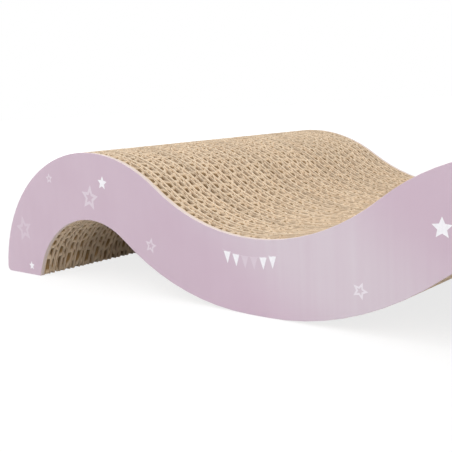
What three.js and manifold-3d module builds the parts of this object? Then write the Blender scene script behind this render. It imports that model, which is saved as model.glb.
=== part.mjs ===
// Wave cat scratcher: a glued stack of corrugated boards between two printed side panels.
// Millimetres, +Z up. X runs along the wave, Y across the stack, and the origin is on the floor
// under the middle of the trough. Every board and panel is cut to the same wave outline, and each
// board stands on edge with its flutes upright, so the open flute ends make the scratching surface.
import * as THREE from 'three';
import { mergeVertices } from 'three/addons/utils/BufferGeometryUtils.js';
import Module from 'manifold-3d';

// Top of the wave
const length = 387; // from end to end along X
const crestSpacing = 224; // from one crest to the other
const crestHeight = 70;
const crestRadius = 88; // on the trough's side of each crest
const troughHeight = 33.5; // of the lowest point of the top
const endCurveHeight = 76; // upright half axis of each rounded end

// Underside of the wave
const archHeight = 35;
const archRadius = 46; // on the trough's side of each arch
const archCurveHeight = 48; // upright half axis of each arch's outer side
const footWidth = 33; // of the foot that each end stands on
const footCorner = 3; // rounding of the foot's outer edge
const troughFlat = 10; // where the trough stands on the floor

// Stack of boards and panels
const boardCount = 28;
const boardThickness = 6.8;
const panelThickness = 2;
const glueGap = 0.2; // between neighbours in the stack
const flutePitch = 9; // from one flute's ridge to the next
const fluteDepth = 3.6;
const fluteShift = 0.382; // of a pitch, from each board to the next

// Facets
const facetSag = 1.1; // most that a facet may cut inside its curve
const cornerFacets = 2; // round the foot's outer edge

const wasm = await Module();
wasm.setup();

const kraftBoard = new THREE.MeshStandardMaterial({ color: 0xb99a72, roughness: 0.95, metalness: 0 });
const printedCard = new THREE.MeshStandardMaterial({ color: 0xcbb8c8, roughness: 0.6, metalness: 0 });

// Points along an elliptical arc, with as many facets as its size and turn need
function arcPoints(centreX, centreZ, radiusX, radiusZ, startAngle, endAngle) {
  const clockwise = endAngle < startAngle;
  const arc = new THREE.EllipseCurve(
    centreX, centreZ, radiusX, radiusZ, startAngle, endAngle, clockwise,
  );
  const facetTurn = 2 * Math.acos(1 - facetSag / Math.max(radiusX, radiusZ));
  return arc.getPoints(Math.ceil(Math.abs(endAngle - startAngle) / facetTurn));
}

// Angle from upright at which a wave's convex and concave arcs meet, for arcs that touch
function waveTurn(run, rise) {
  return 2 * Math.atan2(rise, run);
}

// Sum of the two arcs' radii, which the run and the rise between crest and trough fix
function waveRadii(run, rise) {
  return (run * run + rise * rise) / (2 * rise);
}

const upright = Math.PI / 2;
const crestX = crestSpacing / 2;
const endX = length / 2;

// Top from the middle of the trough over the right crest to the foot's outer edge
function topPoints() {
  const rise = crestHeight - troughHeight;
  const turn = waveTurn(crestX, rise);
  const troughRadius = waveRadii(crestX, rise) - crestRadius;
  const endCentreZ = crestHeight - endCurveHeight;
  const cornerAngle = Math.asin((footCorner - endCentreZ) / endCurveHeight);
  const endAxis = (endX - crestX) / Math.cos(cornerAngle);
  const corner = new THREE.QuadraticBezierCurve(
    new THREE.Vector2(endX, footCorner),
    new THREE.Vector2(endX, 0),
    new THREE.Vector2(endX - footCorner, 0),
  );
  return [
    ...arcPoints(
      0, troughHeight + troughRadius, troughRadius, troughRadius, -upright, turn - upright,
    ),
    ...arcPoints(
      crestX, crestHeight - crestRadius, crestRadius, crestRadius, upright + turn, upright,
    ),
    ...arcPoints(crestX, endCentreZ, endAxis, endCurveHeight, upright, cornerAngle),
    ...corner.getPoints(cornerFacets),
  ];
}

// Underside from the right foot's inner edge through the arch to the flat under the trough
function undersidePoints() {
  const run = crestX - troughFlat / 2;
  const turn = waveTurn(run, archHeight);
  const troughRadius = waveRadii(run, archHeight) - archRadius;
  const archCentreZ = archHeight - archCurveHeight;
  const floorAngle = Math.asin(-archCentreZ / archCurveHeight);
  const archAxis = (endX - footWidth - crestX) / Math.cos(floorAngle);
  return [
    ...arcPoints(crestX, archCentreZ, archAxis, archCurveHeight, floorAngle, upright),
    ...arcPoints(
      crestX, archHeight - archRadius, archRadius, archRadius, upright, upright + turn,
    ),
    ...arcPoints(
      troughFlat / 2, troughRadius, troughRadius, troughRadius, turn - upright, -upright,
    ),
  ];
}

// The whole outline: the right half and its mirror image, with no point twice
function waveOutline() {
  const right = [...topPoints(), ...undersidePoints()];
  const left = right.map((point) => new THREE.Vector2(-point.x, point.y)).reverse();
  const same = 1e-6;
  const outline = [...right, ...left].filter((point, index, all) => {
    const before = all[(index + all.length - 1) % all.length];
    return point.distanceTo(before) > same;
  });
  return new THREE.Shape(outline);
}

// The wave cut from a plate that lies between y = 0 and y = thickness
function wavePlate(thickness) {
  const plate = new THREE.ExtrudeGeometry(waveOutline(), { depth: thickness, bevelEnabled: false });
  return plate.rotateX(upright).translate(0, thickness, 0);
}

// A corrugated sheet, taller and longer than the wave: a flat liner at y = boardThickness, and
// upright flutes whose ridges stand at y = 0
function flutedSheet(shift) {
  const halfPitch = flutePitch / 2;
  const startX = -endX - (1 + shift) * flutePitch;
  const sheet = new THREE.Shape();
  sheet.moveTo(startX, boardThickness);
  let x = startX;
  for (let ridge = true; x < endX + flutePitch; ridge = !ridge) {
    sheet.lineTo(x, ridge ? 0 : fluteDepth);
    x += halfPitch;
  }
  sheet.lineTo(x - halfPitch, boardThickness);
  sheet.closePath();
  const margin = crestHeight / 2;
  const tall = crestHeight + 2 * margin;
  return new THREE.ExtrudeGeometry(sheet, { depth: tall, bevelEnabled: false })
    .translate(0, 0, -margin);
}

// A closed geometry as a solid for boolean cuts, and back
function toSolid(geometry) {
  const bare = geometry.clone();
  bare.deleteAttribute('normal');
  bare.deleteAttribute('uv');
  const merged = mergeVertices(bare);
  return new wasm.Manifold(new wasm.Mesh({
    numProp: 3,
    vertProperties: merged.attributes.position.array,
    triVerts: new Uint32Array(merged.index.array),
  }));
}

function toGeometry(solid) {
  const mesh = solid.getMesh();
  const geometry = new THREE.BufferGeometry();
  geometry.setAttribute('position', new THREE.BufferAttribute(mesh.vertProperties, 3));
  geometry.setIndex(new THREE.BufferAttribute(mesh.triVerts, 1));
  geometry.computeVertexNormals();
  return geometry;
}

const scratcher = new THREE.Group();
const stackStep = boardThickness + glueGap;
const stackWidth = boardCount * stackStep + glueGap;
const plate = toSolid(wavePlate(boardThickness));

function addPiece(name, geometry, material, frontY) {
  const piece = new THREE.Mesh(geometry, material);
  piece.name = name;
  piece.position.y = frontY;
  scratcher.add(piece);
}

// Printed panels on the two outer faces of the stack
addPiece('front_panel', wavePlate(panelThickness), printedCard, -stackWidth / 2 - panelThickness);
addPiece('rear_panel', wavePlate(panelThickness), printedCard, stackWidth / 2);

// Corrugated boards, from front to rear, their flutes shifted from one board to the next
for (let board = 0; board < boardCount; board += 1) {
  const shift = (board * fluteShift) % 1;
  const geometry = toGeometry(plate.intersect(toSolid(flutedSheet(shift))));
  const name = `board_${String(board + 1).padStart(2, '0')}`;
  addPiece(name, geometry, kraftBoard, -stackWidth / 2 + glueGap + board * stackStep);
}

export default scratcher;
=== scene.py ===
import math
import random

import bpy
from mathutils import Matrix, Vector


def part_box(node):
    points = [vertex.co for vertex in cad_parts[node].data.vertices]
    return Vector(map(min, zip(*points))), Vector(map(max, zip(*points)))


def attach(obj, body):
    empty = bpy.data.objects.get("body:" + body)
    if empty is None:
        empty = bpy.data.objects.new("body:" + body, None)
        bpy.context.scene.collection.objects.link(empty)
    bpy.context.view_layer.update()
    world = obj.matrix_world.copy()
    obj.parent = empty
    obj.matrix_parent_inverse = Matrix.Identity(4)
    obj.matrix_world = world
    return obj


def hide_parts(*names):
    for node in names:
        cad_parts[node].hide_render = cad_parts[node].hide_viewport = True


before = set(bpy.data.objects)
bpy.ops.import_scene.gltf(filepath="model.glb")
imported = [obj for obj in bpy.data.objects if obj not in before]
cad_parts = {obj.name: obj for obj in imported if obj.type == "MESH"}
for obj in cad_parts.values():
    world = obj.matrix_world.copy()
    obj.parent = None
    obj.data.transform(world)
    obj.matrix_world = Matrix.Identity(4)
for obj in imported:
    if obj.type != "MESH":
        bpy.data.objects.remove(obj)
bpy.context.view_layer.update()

dice = random.Random(28)  # the same draws on every run
upright = math.pi / 2

panelLow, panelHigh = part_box("front_panel")
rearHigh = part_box("rear_panel")[1]
boardNames = sorted(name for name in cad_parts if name.startswith("board_"))
boardFronts = [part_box(name)[0].y for name in boardNames]
boardStep = boardFronts[1] - boardFronts[0]
print("frame loaded:", len(boardNames), "boards, one every", round(boardStep * 1000, 2), "mm")


# the camera stands where the photograph was taken from
camera = {
    "place": (0.19939, -0.33746, 0.08884),
    "azimuth": 42.225,
    "lookDown": 8.998,
    "roll": -3.203,
    "lens": 59.58,
    "sensor": 36,
    "nearest": 0.01,
}


def addCamera():
    lens = bpy.data.cameras.new("photoCamera")
    lens.lens = camera["lens"]
    lens.sensor_width = camera["sensor"]
    lens.clip_start = camera["nearest"]
    stand = bpy.data.objects.new("photoCamera", lens)
    bpy.context.scene.collection.objects.link(stand)
    stand.matrix_world = (
        Matrix.Translation(camera["place"])
        @ Matrix.Rotation(math.radians(camera["azimuth"]), 4, "Z")
        @ Matrix.Rotation(upright - math.radians(camera["lookDown"]), 4, "X")
        @ Matrix.Rotation(math.radians(camera["roll"]), 4, "Z")
    )
    bpy.context.scene.camera = stand
    print("camera placed")


# a node socket that takes part in sums
class Wire:
    def __init__(self, nodes, socket):
        self.nodes = nodes
        self.socket = socket

    def calc(self, operation, first, second):
        return self.nodes.node("ShaderNodeMath", {"operation": operation}, {0: first, 1: second})

    def __add__(self, other):
        return self.calc("ADD", self, other)

    def __radd__(self, other):
        return self.calc("ADD", other, self)

    def __sub__(self, other):
        return self.calc("SUBTRACT", self, other)

    def __rsub__(self, other):
        return self.calc("SUBTRACT", other, self)

    def __mul__(self, other):
        return self.calc("MULTIPLY", self, other)

    def __rmul__(self, other):
        return self.calc("MULTIPLY", other, self)


# the nodes of a material or of the world
class Nodes:
    def __init__(self, tree):
        self.tree = tree

    def node(self, kind, settings=None, inputs=None, output=0):
        made = self.tree.nodes.new(kind)
        for name, value in (settings or {}).items():
            if name == "stops":
                self.setStops(made.color_ramp, value)
            else:
                setattr(made, name, value)
        for key, value in (inputs or {}).items():
            self.feed(made.inputs[key], value)
        return Wire(self, made.outputs[output])

    def setStops(self, ramp, stops):
        while len(ramp.elements) < len(stops):
            ramp.elements.new(1)
        for element, (position, colour) in zip(ramp.elements, stops):
            element.position = position
            element.color = (*colour, 1)

    def feed(self, socket, value):
        if isinstance(value, Wire):
            self.tree.links.new(value.socket, socket)
        else:
            socket.default_value = value

    # from one result to another as a value goes through its reach
    def eased(self, value, reach, results=(0, 1)):
        ends = {1: reach[0], 2: reach[1], 3: results[0], 4: results[1]}
        return self.node("ShaderNodeMapRange", {"interpolation_type": "SMOOTHSTEP"}, {0: value, **ends})

    # 1 for what is looked at, also in a reflection or through glass, and 0 for what only lights the rest
    def seenDirectly(self):
        seen = self.node("ShaderNodeLightPath", output="Is Camera Ray")
        rays = seen.socket.node.outputs
        for other in ("Is Glossy Ray", "Is Transmission Ray"):
            either = {0: seen, 1: Wire(self, rays[other])}
            seen = self.node("ShaderNodeMath", {"operation": "MAXIMUM"}, either)
        return seen


# a material with its shader
class Finish(Nodes):
    def __init__(self, name):
        self.material = bpy.data.materials.new(name)
        self.material.use_nodes = True
        super().__init__(self.material.node_tree)
        self.shader = self.tree.nodes["Principled BSDF"]

    def set(self, **values):
        for name, value in values.items():
            self.feed(self.shader.inputs[name.replace("_", " ")], value)

    def place(self):
        return self.node("ShaderNodeTexCoord", output="Object")

    def part(self, vector, axis):
        return self.node("ShaderNodeSeparateXYZ", {}, {0: vector}, axis)

    def marked(self, name):
        return self.node("ShaderNodeAttribute", {"attribute_name": name}, output="Fac")

    def stretched(self, vector, scale):
        return self.node("ShaderNodeMapping", {}, {"Vector": vector, "Scale": scale})

    def noise(self, vector, scale, detail=2):
        return self.node(
            "ShaderNodeTexNoise", {}, {"Vector": vector, "Scale": scale, "Detail": detail}, "Fac"
        )

    def ramp(self, value, stops, *colours):
        return self.node("ShaderNodeValToRGB", {"stops": list(zip(stops, colours))}, {0: value}, "Color")

    def blend(self, share, first, second):
        return self.node(
            "ShaderNodeMix", {"data_type": "RGBA"}, {0: share, 6: first, 7: second}, 2
        )

    def relief(self, height, strength, depth):
        return self.node("ShaderNodeBump", {}, {"Strength": strength, "Distance": depth, "Height": height})


# two patterns in one, the first with the given share
def shared(share, first, second):
    return first * share + second * (1 - share)


# brown paper of the boards: fibres, cloudy patches, pale fibres along the cut, a darker face further inside
# that is partly the paper's own colour and partly painted shade in the flutes' hollows, and a tone for each
# board
kraft = {
    # face colours: the paper's own darker inner face, darkened further as painted shade deep in the flutes
    "shadedFaceDark": (0.37, 0.225, 0.085),
    "shadedFaceLight": (0.51, 0.325, 0.15),
    "faceStops": (0.3, 0.7),
    "cutDark": (0.69, 0.525, 0.36),
    "cutLight": (0.79, 0.635, 0.465),
    "cutStops": (0.3, 0.65),
    "cutFade": (0.3, 1),  # where the cut turns into the face, as shares of the way inside
    "fibreScale": 1400,
    "fibreStretch": (1, 1, 0.22),
    "fibreShare": 0.6,
    "fibreRelief": 0.35,
    "fibreDepth": 0.0001,
    "cloudScale": 90,
    "toneSpread": 0.12,
    "roughness": 0.92,
    "fuzz": 0.6,
    "fuzzSpread": 0.5,
    "fuzzTint": (1, 0.92, 0.78, 1),
}


def boardTone(finish, place):
    boardsBefore = (finish.part(place, "Y") - boardFronts[0]) * (1 / boardStep)
    number = finish.node("ShaderNodeMath", {"operation": "FLOOR"}, {0: boardsBefore})
    chance = finish.node(
        "ShaderNodeTexWhiteNoise", {"noise_dimensions": "1D"}, {"W": number}, "Value"
    )
    return chance * kraft["toneSpread"] + (1 - kraft["toneSpread"] / 2)


def kraftPaper():
    finish = Finish("kraftPaper")
    place = finish.place()
    fibre = finish.noise(finish.stretched(place, kraft["fibreStretch"]), kraft["fibreScale"], detail=3)
    cloud = finish.noise(place, kraft["cloudScale"])
    grain = shared(kraft["fibreShare"], fibre, cloud)
    face = finish.ramp(grain, kraft["faceStops"], kraft["shadedFaceDark"], kraft["shadedFaceLight"])
    cut = finish.ramp(grain, kraft["cutStops"], kraft["cutDark"], kraft["cutLight"])
    # going inside, the pale cut turns into the darker face: partly the paper's own colour, partly painted
    # shade in the hollows
    inside = finish.eased(finish.marked("fromCut"), kraft["cutFade"])
    paper = finish.blend(inside, cut, face)
    tone = boardTone(finish, place)
    finish.set(
        Base_Color=finish.node("ShaderNodeVectorMath", {"operation": "SCALE"}, {0: paper, "Scale": tone}),
        Roughness=kraft["roughness"],
        Normal=finish.relief(fibre, kraft["fibreRelief"], kraft["fibreDepth"]),
        Sheen_Weight=kraft["fuzz"],
        Sheen_Roughness=kraft["fuzzSpread"],
        Sheen_Tint=kraft["fuzzTint"],
    )
    return finish.material


# lilac varnished print over card whose flutes show through as faint upright ripples, with a painted
# highlight blended into its colour: a pale slanted band in upright streaks
lilac = {
    "deep": (0.545, 0.406, 0.494),
    "pale": (0.572, 0.438, 0.524),
    "stops": (0.3, 0.7),
    "cloudScale": 38,
    "cloudShare": 0.8,
    # the colour of the painted highlight, a reflection of the light painted into the print
    "paintedHighlight": (0.645, 0.580, 0.625, 1),
    "highlightCentre": 0.071,  # where the slanted pale zone would meet the floor
    "highlightSlant": 1.3,
    "highlightReach": (0.012, 0.072),
    "highlightShare": (1.0, 0.1),
    "streakScale": 260,
    "streakStretch": (1, 1, 0.03),
    "streakStrength": 0.6,
    "streakMean": 0.65,
    "ripplePitch": 0.0079,
    "rippleDepth": 0.00006,
    "rippleRelief": 0.5,
    "grainScale": 2600,
    "grainRelief": 0.12,
    "roughness": 0.38,
    "roughnessSpread": 0.08,
}


# how much of the painted highlight shows: most along a slanted zone, faintly elsewhere, in upright streaks
def paintedHighlightShare(finish, place, along):
    slanted = along + finish.part(place, "Z") * lilac["highlightSlant"]
    away = finish.node("ShaderNodeMath", {"operation": "ABSOLUTE"}, {0: slanted - lilac["highlightCentre"]})
    nearness = finish.eased(away, lilac["highlightReach"], lilac["highlightShare"])
    streaks = finish.noise(finish.stretched(place, lilac["streakStretch"]), lilac["streakScale"])
    strength = lilac["streakStrength"]
    return nearness * (streaks * strength + (lilac["streakMean"] - strength / 2))


def lilacPrint():
    finish = Finish("lilacPrint")
    place = finish.place()
    along = finish.part(place, "X")
    cloud = finish.noise(place, lilac["cloudScale"], detail=3)
    grain = finish.noise(place, lilac["grainScale"])
    mottle = shared(lilac["cloudShare"], cloud, grain)
    tint = finish.ramp(mottle, lilac["stops"], lilac["deep"], lilac["pale"])
    ripple = finish.node(
        "ShaderNodeMath", {"operation": "SINE"}, {0: along * (2 * math.pi / lilac["ripplePitch"])}
    )
    bumps = ripple * lilac["rippleRelief"] + grain * lilac["grainRelief"]
    spread = lilac["roughnessSpread"]
    finish.set(
        # the painted highlight is blended into the print's colour here
        Base_Color=finish.blend(paintedHighlightShare(finish, place, along), tint, lilac["paintedHighlight"]),
        Roughness=grain * spread + (lilac["roughness"] - spread / 2),
        Normal=finish.relief(bumps, 1, lilac["rippleDepth"]),
    )
    return finish.material


# bare edge and back of the panels' card, with its layers as fine lines
card = {
    "dark": (0.62, 0.52, 0.47),
    "light": (0.77, 0.66, 0.63),
    "stops": (0.3, 0.6),
    "layerScale": 1800,
    "layerStretch": (0.06, 1, 0.06),
    "layerShare": 0.6,
    "layerRelief": 0.3,
    "layerDepth": 0.0001,
    "roughness": 0.85,
}


def cardCore():
    finish = Finish("cardCore")
    place = finish.place()
    layers = finish.noise(finish.stretched(place, card["layerStretch"]), card["layerScale"])
    specks = finish.noise(place, card["layerScale"])
    pattern = shared(card["layerShare"], layers, specks)
    finish.set(
        Base_Color=finish.ramp(pattern, card["stops"], card["dark"], card["light"]),
        Roughness=card["roughness"],
        Normal=finish.relief(layers, card["layerRelief"], card["layerDepth"]),
    )
    return finish.material


# white ink of the stars and pennants; where it covers less, the lilac shows through
ink = {
    "full": (0.88, 0.87, 0.90),
    "worn": (0.827, 0.818, 0.846),
    "stops": (0.35, 0.6),
    "through": (0.558, 0.422, 0.509, 1),
    "wearScale": 900,
    "roughness": 0.45,
    "raised": 0.00003,
    "sunk": 0.00002,  # how far the ink reaches into the print, so that no gap shows
}


def whiteInk():
    finish = Finish("whiteInk")
    wear = finish.noise(finish.place(), ink["wearScale"], detail=3)
    white = finish.ramp(wear, ink["stops"], ink["worn"], ink["full"])
    finish.set(
        Base_Color=finish.blend(finish.marked("cover"), ink["through"], white),
        Roughness=ink["roughness"],
    )
    return finish.material


# the wave that every sheet is cut to; its length and height come from the frame
wave = {
    "endX": panelHigh.x,
    "crestX": 0.112,
    "crestZ": panelHigh.z,
    "crestRadius": 0.088,  # on the trough's side of each crest
    "troughZ": 0.0335,
    "endAxisZ": 0.076,  # upright half axis of each rounded end
    "archZ": 0.035,
    "archRadius": 0.046,  # on the trough's side of each arch
    "archAxisZ": 0.048,  # upright half axis of each arch's outer side
    "footWidth": 0.033,
    "footCorner": 0.003,
    "cornerShares": (0.0, 0.35, 0.7, 1.0),  # points round the foot's outer edge
    "troughFlat": 0.010,
    "arcStep": math.radians(4),
}

# what follows from those sizes
topRise = wave["crestZ"] - wave["troughZ"]
topTurn = 2 * math.atan2(topRise, wave["crestX"])
topTroughRadius = (wave["crestX"] ** 2 + topRise**2) / (2 * topRise) - wave["crestRadius"]
endCentreZ = wave["crestZ"] - wave["endAxisZ"]
cornerAngle = math.asin((wave["footCorner"] - endCentreZ) / wave["endAxisZ"])
endAxisX = (wave["endX"] - wave["crestX"]) / math.cos(cornerAngle)
underRun = wave["crestX"] - wave["troughFlat"] / 2
underTurn = 2 * math.atan2(wave["archZ"], underRun)
underTroughRadius = (underRun**2 + wave["archZ"] ** 2) / (2 * wave["archZ"]) - wave["archRadius"]
archCentreZ = wave["archZ"] - wave["archAxisZ"]
floorAngle = math.asin(-archCentreZ / wave["archAxisZ"])
footX = wave["endX"] - wave["footWidth"]
archAxisX = (footX - wave["crestX"]) / math.cos(floorAngle)


# height of an ellipse above its centre
def rise(offset, axisX, axisZ):
    return axisZ * math.sqrt(max(0, 1 - (offset / axisX) ** 2))


def waveTop(x):
    away = min(abs(x), wave["endX"])
    if away < topTroughRadius * math.sin(topTurn):
        return wave["troughZ"] + topTroughRadius - rise(away, topTroughRadius, topTroughRadius)
    if away < wave["crestX"]:
        bend = wave["crestRadius"]
        return wave["crestZ"] - bend + rise(wave["crestX"] - away, bend, bend)
    return endCentreZ + rise(away - wave["crestX"], endAxisX, wave["endAxisZ"])


def waveUnder(x):
    away = min(abs(x), wave["endX"])
    fromFlat = away - wave["troughFlat"] / 2
    if fromFlat < 0 or footX <= away <= wave["endX"] - wave["footCorner"]:
        return 0.0
    if fromFlat < underTroughRadius * math.sin(underTurn):
        return underTroughRadius - rise(fromFlat, underTroughRadius, underTroughRadius)
    if away < wave["crestX"]:
        bend = wave["archRadius"]
        return wave["archZ"] - bend + rise(wave["crestX"] - away, bend, bend)
    if away < footX:
        return archCentreZ + rise(away - wave["crestX"], archAxisX, wave["archAxisZ"])
    roundness = math.sqrt((wave["endX"] - away) / wave["footCorner"])
    return wave["footCorner"] * (1 - roundness) ** 2


def arcPoints(centreX, centreZ, axisX, axisZ, start, end):
    count = max(2, round(abs(end - start) / wave["arcStep"]))
    angles = [start + (end - start) * step / count for step in range(count)]
    return [(centreX + axisX * math.cos(angle), centreZ + axisZ * math.sin(angle)) for angle in angles]


# the right half from the trough's top to its underside, then the left half back up
def waveOutline():
    crestX, bend, archBend = wave["crestX"], wave["crestRadius"], wave["archRadius"]
    half = arcPoints(
        0, wave["troughZ"] + topTroughRadius, topTroughRadius, topTroughRadius, -upright, topTurn - upright
    )
    half += arcPoints(crestX, wave["crestZ"] - bend, bend, bend, upright + topTurn, upright)
    half += arcPoints(crestX, endCentreZ, endAxisX, wave["endAxisZ"], upright, cornerAngle)
    for share in wave["cornerShares"]:
        x = wave["endX"] - wave["footCorner"] * share**2
        half.append((x, wave["footCorner"] * (1 - share) ** 2))
    half += arcPoints(crestX, archCentreZ, archAxisX, wave["archAxisZ"], floorAngle, upright)
    half += arcPoints(crestX, wave["archZ"] - archBend, archBend, archBend, upright, upright + underTurn)
    half += arcPoints(
        wave["troughFlat"] / 2, underTroughRadius, underTroughRadius, underTroughRadius,
        underTurn - upright, -upright,
    )
    half.append((wave["troughFlat"] / 2, 0.0))
    return half + [(-x, z) for x, z in reversed(half[1:])]


outline = waveOutline()
print("wave outline:", len(outline), "points")


def applyModifier(piece, kind, **settings):
    modifier = piece.modifiers.new(kind.lower(), kind)
    for name, value in settings.items():
        setattr(modifier, name, value)
    bpy.context.view_layer.objects.active = piece
    bpy.ops.object.modifier_apply(modifier=modifier.name)


def copyOf(master):
    twin = master.copy()
    twin.data = master.data.copy()
    bpy.context.scene.collection.objects.link(twin)
    return twin


def joined(pieces, name):
    bpy.ops.object.select_all(action="DESELECT")
    for piece in pieces:
        piece.select_set(True)
    bpy.context.view_layer.objects.active = pieces[0]
    bpy.ops.object.join()
    pieces[0].name = name
    pieces[0].data.name = name
    return pieces[0]


# a number at each vertex, for the materials to read
def mark(piece, name, values):
    attribute = piece.data.attributes.new(name, "FLOAT", "POINT")
    for item, value in zip(attribute.data, values):
        item.value = value


# 1 for a face of a plate that looks to the rear, -1 for one that looks to the front, 0 for an edge
def facing(face):
    return round(face.normal.y)


def finishPiece(piece, slot, *nodes):
    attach(piece, "root")
    if nodes:
        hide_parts(*nodes)


# a plate cut to the wave, from a disc whose rim is drawn out to the outline
def addWavePlate(frontY, thickness):
    bpy.ops.object.select_all(action="DESELECT")
    bpy.ops.mesh.primitive_circle_add(vertices=len(outline), radius=wave["endX"], fill_type="NGON")
    plate = bpy.context.object
    for vertex, (x, z) in zip(plate.data.vertices, outline):
        vertex.co = (x, frontY, z)
    bpy.ops.object.mode_set(mode="EDIT")
    bpy.ops.mesh.select_all(action="SELECT")
    bpy.ops.mesh.extrude_region_move(TRANSFORM_OT_translate={"value": (0, thickness, 0)})
    bpy.ops.mesh.select_all(action="SELECT")
    bpy.ops.mesh.normals_make_consistent(inside=False)
    bpy.ops.object.mode_set(mode="OBJECT")
    return plate


# double-wall board: liner, large flutes, liner, small flutes, liner
board = {
    "liner": 0.00034,  # thickness of the flat paper
    "medium": 0.00045,  # thickness of the fluted paper
    "linerFlare": 0.000153,  # how much thicker a liner is along its cut edge
    # wall and tip: how thick the fuzzy cut edge is there; crush: most that a flute is pressed flat
    "largeFlute": {"pitch": 0.0084, "depth": 0.0036, "wall": 0.0014, "tip": 0.0006, "crush": 0.3},
    "smallFlute": {"pitch": 0.00666, "depth": 0.0023, "wall": 0.0014, "tip": 0.0006, "crush": 0.5},
    # half a flute, from one wall over the tip to the next: share of its length, side of the wall, height
    "halfFlute": [
        (0, 1, 0), (0.03, 1, 0.7), (0.12, 0.85, 1), (0.5, 0, 1), (0.88, -0.85, 1), (0.97, -1, 0.7)
    ],
    "wallSpread": 0.25,  # how much the walls differ, as a share of their thickness
    "wallRound": 0.0007,  # how far a wall's two shoulders stand below the middle of its cut edge
    # rows round a sheet of flutes: rear face, cut edge or front face; top or bottom; share of the way inside
    "fluteRows": [
        (1, -1, 0.7), (1, -1, 1), (1, 1, 1), (1, 1, 0.7), (0, 1, 0),
        (-1, 1, 0.7), (-1, 1, 1), (-1, -1, 1), (-1, -1, 0.7), (0, -1, 0),
    ],
    "glue": 0.00005,  # gap to the next board
    "lean": 0.08,  # most that a flute leans, as a share of its pitch
    "patch": 0.03,  # length of the stretches in which flutes are pressed alike
    "fray": 0.0003,  # how much lower one point of the flutes' cut edge may stand than another
    "frayLeast": 0.2,  # how low all of that edge stands, as a share of fray
    "linerFray": 0.6,  # most that the liners' cut edge stands low, as a share of fray
    "burr": 0.0002,  # most that a cut edge is pushed aside
    "cutDepth": 0.0026,  # how far pale fibres reach down from the cut
    "linerCutDepth": 0.0020,
    "endGap": 0.0013,  # from the last flute to the wave's end
    "endSqueeze": 0.06,  # what is left of the length of a flute that would reach past there
    "smoothAngle": math.radians(35),
}


def addLinerMaster():
    plate = addWavePlate(0, 1)
    bpy.ops.object.mode_set(mode="EDIT")
    bpy.ops.mesh.select_mode(type="FACE")
    bpy.ops.mesh.select_all(action="DESELECT")
    bpy.ops.object.mode_set(mode="OBJECT")
    for face in plate.data.polygons:
        face.select = facing(face) != 0
    bpy.ops.object.mode_set(mode="EDIT")
    bpy.ops.mesh.inset(thickness=board["linerCutDepth"], use_individual=True)
    bpy.ops.object.mode_set(mode="OBJECT")
    inner = {index for face in plate.data.polygons if face.select for index in face.vertices}
    mark(plate, "fromCut", [float(vertex.index in inner) for vertex in plate.data.vertices])
    return plate


def addLiner(master, frontY, thickness):
    liner = copyOf(master)
    flared = thickness + board["linerFlare"]
    for vertex, depth in zip(liner.data.vertices, liner.data.attributes["fromCut"].data):
        x, z = vertex.co.x, vertex.co.z
        if z > wave["footCorner"] and z > waveTop(x) - board["fray"]:
            z -= dice.random() * board["fray"] * board["linerFray"]
        width = thickness if depth.value else flared
        y = frontY + thickness / 2 + (vertex.co.y - 0.5) * width
        vertex.co = (x, y, z)
    return liner


# as many half flutes as fit the wave's length best
def halfFlutes(flute):
    return round(4 * wave["endX"] / flute["pitch"])


# a tube as long as the wave, flattened: x counts its columns, y the rows round it
def addFluteMaster(flute):
    columns = halfFlutes(flute) * len(board["halfFlute"])
    rows = len(board["fluteRows"])
    bpy.ops.object.select_all(action="DESELECT")
    bpy.ops.mesh.primitive_grid_add(x_subdivisions=columns, y_subdivisions=rows, size=1)
    sheet = bpy.context.object
    for vertex in sheet.data.vertices:
        turn = (vertex.co.y + 0.5) * 2 * math.pi
        vertex.co = (round((vertex.co.x + 0.5) * columns), math.cos(turn), math.sin(turn))
    bpy.ops.object.mode_set(mode="EDIT")
    bpy.ops.mesh.select_all(action="SELECT")
    bpy.ops.mesh.remove_doubles(threshold=0.01)  # the columns stand 1 apart
    bpy.ops.mesh.fill_holes(sides=rows)
    bpy.ops.mesh.select_all(action="SELECT")
    bpy.ops.mesh.normals_make_consistent(inside=False)
    bpy.ops.object.mode_set(mode="OBJECT")
    for vertex in sheet.data.vertices:
        row = round(math.atan2(vertex.co.z, vertex.co.y) / (2 * math.pi) * rows) % rows
        vertex.co = (vertex.co.x, row, 0)
    mark(sheet, "fromCut", [board["fluteRows"][int(vertex.co.y)][2] for vertex in sheet.data.vertices])
    return sheet


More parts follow.
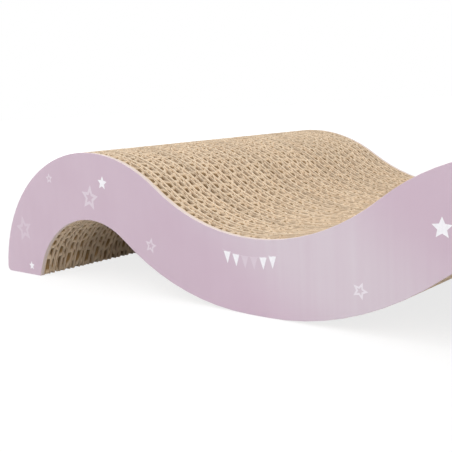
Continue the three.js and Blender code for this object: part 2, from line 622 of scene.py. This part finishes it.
# a copy of the master bent into flutes, its two cut edges drawn to the wave
def addFluteSheet(master, flute, frontY):
    sheet = copyOf(master)
    profile = board["halfFlute"]
    phase = dice.randrange(2 * len(profile))
    halves = halfFlutes(flute)
    halfPitch = 2 * wave["endX"] / halves
    drawn = range(halves + 3)  # the phase and the last wall reach a few further
    leans = [dice.uniform(-1, 1) * board["lean"] * flute["pitch"] for _ in drawn]
    walls = [1 + dice.uniform(-1, 1) * board["wallSpread"] for _ in drawn]
    crushes = [1 - dice.random() ** 2 * flute["crush"] for _ in drawn]
    patchCount = int(2 * wave["endX"] / board["patch"]) + 2
    patches = [dice.random() ** 2 * flute["crush"] for _ in range(patchCount)]
    limit = wave["endX"] - board["endGap"]
    for vertex in sheet.data.vertices:
        number, step = divmod(int(vertex.co.x) + phase, len(profile))
        share, wallSide, height = profile[step]
        face, end, depth = board["fluteRows"][int(vertex.co.y)]
        side = 1 if number % 2 else -1
        outer = side * face
        wall, tip, inside, shove = board["medium"], board["medium"], board["cutDepth"], 0
        if depth < 1:  # on the fuzzy cut edge
            wall, tip = flute["wall"] * walls[number + (wallSide < 0)], flute["tip"]
            inside = (board["frayLeast"] + dice.random()) * board["fray"]
            inside += abs(face * wallSide) * board["wallRound"]
            shove = dice.uniform(-1, 1) * board["burr"] * (1 - height)
        x = (number + share - phase / len(profile)) * halfPitch - wave["endX"]
        x += leans[number] * height**2 - outer * wallSide * wall / 2
        over = max(0, abs(x) - limit)
        x = math.copysign(abs(x) - over * (1 - board["endSqueeze"]), x)
        patch, along = divmod((x + wave["endX"]) / board["patch"], 1)
        pressed = patches[int(patch)] * (1 - along) + patches[int(patch) + 1] * along
        fullness = crushes[number] * (1 - pressed) if depth < 1 else 1
        reach = (flute["depth"] - (1 - outer) * tip) / 2  # a tip's outer face meets the liner
        y = frontY + flute["depth"] / 2 + side * reach * height * fullness + shove
        z = waveTop(x) - inside if end > 0 else waveUnder(x) + inside
        vertex.co = (x, y, z)
    return sheet


def addBoards(paper):
    linerMaster = addLinerMaster()
    large, small = board["largeFlute"], board["smallFlute"]
    largeMaster = addFluteMaster(large)
    smallMaster = addFluteMaster(small)
    for name, frontY in zip(boardNames, boardFronts):
        largeY = frontY + board["liner"]
        middleY = largeY + large["depth"]
        smallY = middleY + board["liner"]
        rearY = smallY + small["depth"]
        rearLiner = frontY + boardStep - board["glue"] - rearY
        sheets = [
            addLiner(linerMaster, frontY, board["liner"]),
            addFluteSheet(largeMaster, large, largeY),
            addLiner(linerMaster, middleY, board["liner"]),
            addFluteSheet(smallMaster, small, smallY),
            addLiner(linerMaster, rearY, rearLiner),
        ]
        piece = joined(sheets, "corrugated_" + name)
        piece.data.materials.append(paper)
        bpy.ops.object.shade_smooth_by_angle(angle=board["smoothAngle"])
        finishPiece(piece, "kraft_board", name)
    for master in (linerMaster, largeMaster, smallMaster):
        bpy.data.objects.remove(master)
    print("boards:", len(boardNames), "of", len(piece.data.polygons), "faces or so each")


# side panels of printed card
panel = {
    "edgeRound": 0.0002,
    "edgeSteps": 2,
    "edgeAngle": math.radians(60),  # sharper edges than this are rounded
    "smoothAngle": math.radians(15),
}


def addPanel(name, frontY, backY, faceDirection, printed, core):
    piece = addWavePlate(frontY, backY - frontY)
    applyModifier(
        piece, "BEVEL", width=panel["edgeRound"], segments=panel["edgeSteps"],
        limit_method="ANGLE", angle_limit=panel["edgeAngle"],
    )
    piece.name = "printed_" + name
    piece.data.name = piece.name
    piece.data.materials.append(printed)
    piece.data.materials.append(core)
    for face in piece.data.polygons:
        face.material_index = 0 if facing(face) == faceDirection else 1
    bpy.ops.object.select_all(action="DESELECT")
    piece.select_set(True)
    bpy.context.view_layer.objects.active = piece
    bpy.ops.object.shade_smooth_by_angle(angle=panel["smoothAngle"])
    finishPiece(piece, "printed_card", name)


# a flat shape made a layer of ink that covers its place more or less
def printInk(shape, cover):
    applyModifier(shape, "SOLIDIFY", thickness=ink["raised"] + ink["sunk"], offset=1)
    mark(shape, "cover", [cover] * len(shape.data.vertices))


# printed stars: place along the wave, height, outer radius, turn in degrees, how much the ink covers
starShape = {"points": 5, "waist": 0.47, "line": 0.21}
frontStars = {
    "solid": [
        (-0.0986, 0.0547, 0.0036, 8, 1),
        (-0.1684, 0.0052, 0.0026, 0, 1),
        (0.0841, 0.0438, 0.0041, 0, 1),
        (0.1480, 0.0300, 0.0034, -12, 1),
    ],
    "outline": [
        (-0.1097, 0.0467, 0.0069, 10, 0.36),
        (-0.1438, 0.0560, 0.0029, 0, 0.46),
        (-0.1727, 0.0263, 0.0078, -8, 0.22),
        (-0.0655, 0.0253, 0.0040, 14, 0.38),
        (0.0506, 0.0174, 0.0036, 20, 0.66),
        (0.1220, 0.0530, 0.0058, -8, 0.45),
        (0.1760, 0.0160, 0.0042, 12, 0.35),
    ],
}

rearStars = {
    "solid": [
        (-0.1520, 0.0350, 0.0038, 6, 1),
        (-0.0420, 0.0300, 0.0030, -10, 1),
        (0.1090, 0.0560, 0.0040, 0, 1),
        (0.1730, 0.0090, 0.0024, 14, 1),
    ],
    "outline": [
        (-0.1180, 0.0575, 0.0052, -8, 0.45),
        (-0.1750, 0.0170, 0.0060, 12, 0.35),
        (-0.0840, 0.0445, 0.0036, 0, 0.4),
        (0.0050, 0.0190, 0.0050, 18, 0.5),
        (0.0560, 0.0270, 0.0032, -6, 0.45),
        (0.1470, 0.0470, 0.0064, 10, 0.35),
        (0.1660, 0.0290, 0.0036, -14, 0.5),
    ],
}


def addStar(x, z, radius, turn, cover, faceY, faceDirection, hollow):
    place = (x, faceY - faceDirection * ink["sunk"], z)
    bpy.ops.object.select_all(action="DESELECT")
    bpy.ops.mesh.primitive_circle_add(
        vertices=2 * starShape["points"], radius=radius, fill_type="NGON", location=place,
        rotation=(upright, math.radians(turn), 0 if faceDirection < 0 else math.pi),
    )
    star = bpy.context.object
    bpy.ops.object.transform_apply(location=True, rotation=True, scale=True)
    bpy.ops.object.mode_set(mode="EDIT")
    bpy.ops.mesh.select_mode(type="VERT")
    bpy.ops.mesh.select_all(action="DESELECT")
    bpy.ops.object.mode_set(mode="OBJECT")
    for vertex in star.data.vertices:
        vertex.select = vertex.index % 2 == 1
    bpy.ops.object.mode_set(mode="EDIT")
    waist = starShape["waist"]
    bpy.ops.transform.resize(value=(waist, waist, waist), center_override=place)
    bpy.ops.mesh.select_all(action="SELECT")
    if hollow:
        bpy.ops.mesh.select_mode(type="FACE")
        bpy.ops.mesh.inset(thickness=starShape["line"] * radius)
        bpy.ops.mesh.delete(type="FACE")
    bpy.ops.object.mode_set(mode="OBJECT")
    printInk(star, cover)
    return star


def addStars(name, stars, faceY, faceDirection, white):
    for kind, rows in stars.items():
        pieces = [addStar(*row, faceY, faceDirection, kind == "outline") for row in rows]
        piece = joined(pieces, name + "_" + kind + "_stars")
        piece.data.materials.append(white)
        finishPiece(piece, "printed_card")


# printed bunting: evenly spaced pennants, some of them faint, that hang from a faint sagging string
bunting = {
    "startX": -0.0162,
    "endX": 0.0088,
    "endZ": 0.0270,
    "sag": 0.0014,
    "string": 0.00022,
    "stringSteps": 12,
    "stringEnds": 0.0060,  # how much longer the string is than the row of pennants' middles
    "stringCover": 0.3,
    "pennantCovers": (1, 1, 0.3, 0.3, 1, 1),
    "width": 0.0040,
    "drop": 0.0054,
}


def stringZ(x):
    share = (x - bunting["startX"]) / (bunting["endX"] - bunting["startX"])
    return bunting["endZ"] - 4 * bunting["sag"] * share * (1 - share)


# a triangle of height 1, drawn to its width and drop, with its upper edge on the string
def addPennant(x, faceY):
    place = (x, faceY + ink["sunk"], stringZ(x))
    bpy.ops.object.select_all(action="DESELECT")
    bpy.ops.mesh.primitive_circle_add(
        vertices=3, radius=2 / 3, fill_type="NGON", location=place, rotation=(upright, math.pi, 0)
    )
    bpy.ops.object.transform_apply(location=True, rotation=True, scale=True)
    bpy.ops.object.mode_set(mode="EDIT")
    bpy.ops.mesh.select_all(action="SELECT")
    sizes = (bunting["width"] * math.sqrt(3) / 2, 1, bunting["drop"])
    bpy.ops.transform.resize(value=sizes, center_override=place)
    bpy.ops.transform.translate(value=(0, 0, -bunting["drop"] / 3))
    bpy.ops.object.mode_set(mode="OBJECT")
    return bpy.context.object


def addString(faceY):
    bpy.ops.object.select_all(action="DESELECT")
    bpy.ops.mesh.primitive_grid_add(x_subdivisions=bunting["stringSteps"], y_subdivisions=1, size=1)
    string = bpy.context.object
    middle = (bunting["startX"] + bunting["endX"]) / 2
    reach = bunting["endX"] - bunting["startX"] + bunting["stringEnds"]
    for vertex in string.data.vertices:
        x = middle + vertex.co.x * reach
        vertex.co = (x, faceY + ink["sunk"], stringZ(x) + vertex.co.y * bunting["string"])
    return string


def addBunting(faceY, white):
    covers = bunting["pennantCovers"]
    gap = (bunting["endX"] - bunting["startX"]) / (len(covers) - 1)
    shapes = [addPennant(bunting["startX"] + gap * number, faceY) for number in range(len(covers))]
    shapes.append(addString(faceY))
    for shape, cover in zip(shapes, (*covers, bunting["stringCover"])):
        printInk(shape, cover)
    piece = joined(shapes, "front_bunting")
    piece.data.materials.append(white)
    finishPiece(piece, "printed_card")


# pale floor and soft light
studio = {
    "floorSize": 60,
    "floorColour": (0.8, 0.8, 0.8, 1),
    "floorRoughness": 0.9,
    "floorSeen": (0.22, 0.22, 0.22, 1),  # the part of the floor's white that shadows take away
    "glow": (0.79, 1.0),  # the rest of its white, near the object and far from it
    "glowReach": (0.35, 1.6),
    "ambient": 0.5,
    "lights": [
        {"name": "top", "azimuth": -30, "elevation": 76, "distance": 2.2, "size": 2.0, "power": 22},
        {"name": "left", "azimuth": -38, "elevation": 28, "distance": 2.4, "size": 1.4, "power": 8.8},
        {"name": "right", "azimuth": 38, "elevation": 34, "distance": 2.4, "size": 1.4, "power": 14.4},
        {"name": "rear", "azimuth": 170, "elevation": 24, "distance": 2.4, "size": 1.6, "power": 9},
    ],
}


def floorPale():
    finish = Finish("floorPale")
    finish.set(Base_Color=studio["floorColour"], Roughness=studio["floorRoughness"])
    away = finish.node("ShaderNodeVectorMath", {"operation": "LENGTH"}, {0: finish.place()}, "Value")
    glow = finish.eased(away, studio["glowReach"], studio["glow"])
    shade = finish.node("ShaderNodeBsdfDiffuse", {}, {"Color": studio["floorSeen"]})
    light = finish.node("ShaderNodeEmission", {}, {"Strength": glow})
    seen = finish.node("ShaderNodeAddShader", {}, {0: shade, 1: light})
    lit = Wire(finish, finish.shader.outputs[0])
    surface = finish.node("ShaderNodeMixShader", {}, {0: finish.seenDirectly(), 1: lit, 2: seen})
    finish.feed(finish.tree.nodes["Material Output"].inputs["Surface"], surface)
    return finish.material


def addFloor():
    bpy.ops.object.select_all(action="DESELECT")
    bpy.ops.mesh.primitive_plane_add(size=studio["floorSize"], location=(0, 0, 0))
    floor = bpy.context.object
    floor.name = "studioFloor"
    floor.data.materials.append(floorPale())


# white where it is looked at, and dimmer as a light
def addSky():
    world = bpy.data.worlds.new("studioWorld")
    bpy.context.scene.world = world
    world.use_nodes = True
    sky = Nodes(world.node_tree)
    background = sky.tree.nodes["Background"]
    strengths = {0: sky.seenDirectly(), 3: studio["ambient"], 4: 1}
    sky.feed(background.inputs["Color"], (1, 1, 1, 1))
    sky.feed(background.inputs["Strength"], sky.node("ShaderNodeMapRange", {}, strengths))


def addLights():
    for light in studio["lights"]:
        lamp = bpy.data.lights.new(light["name"] + "Light", "AREA")
        lamp.size = light["size"]
        lamp.energy = light["power"]
        stand = bpy.data.objects.new(lamp.name, lamp)
        bpy.context.scene.collection.objects.link(stand)
        turn, lift = math.radians(light["azimuth"]), math.radians(light["elevation"])
        away = Vector((math.sin(turn) * math.cos(lift), -math.cos(turn) * math.cos(lift), math.sin(lift)))
        stand.location = away * light["distance"]
        stand.rotation_euler = away.to_track_quat("Z", "Y").to_euler()
    print("studio lit by", len(studio["lights"]), "soft lights")


addCamera()
addFloor()
addSky()
addLights()
addBoards(kraftPaper())

printed, core = lilacPrint(), cardCore()
stackEnd = boardFronts[-1] + boardStep
addPanel("front_panel", panelLow.y, boardFronts[0], -1, printed, core)
addPanel("rear_panel", stackEnd, rearHigh.y, 1, printed, core)
print("panels cut")

white = whiteInk()
addStars("front", frontStars, panelLow.y, -1, white)
addStars("rear", rearStars, rearHigh.y, 1, white)
addBunting(panelLow.y, white)
print("stars and bunting printed")

scene = bpy.context.scene
scene.view_settings.view_transform = "Standard"
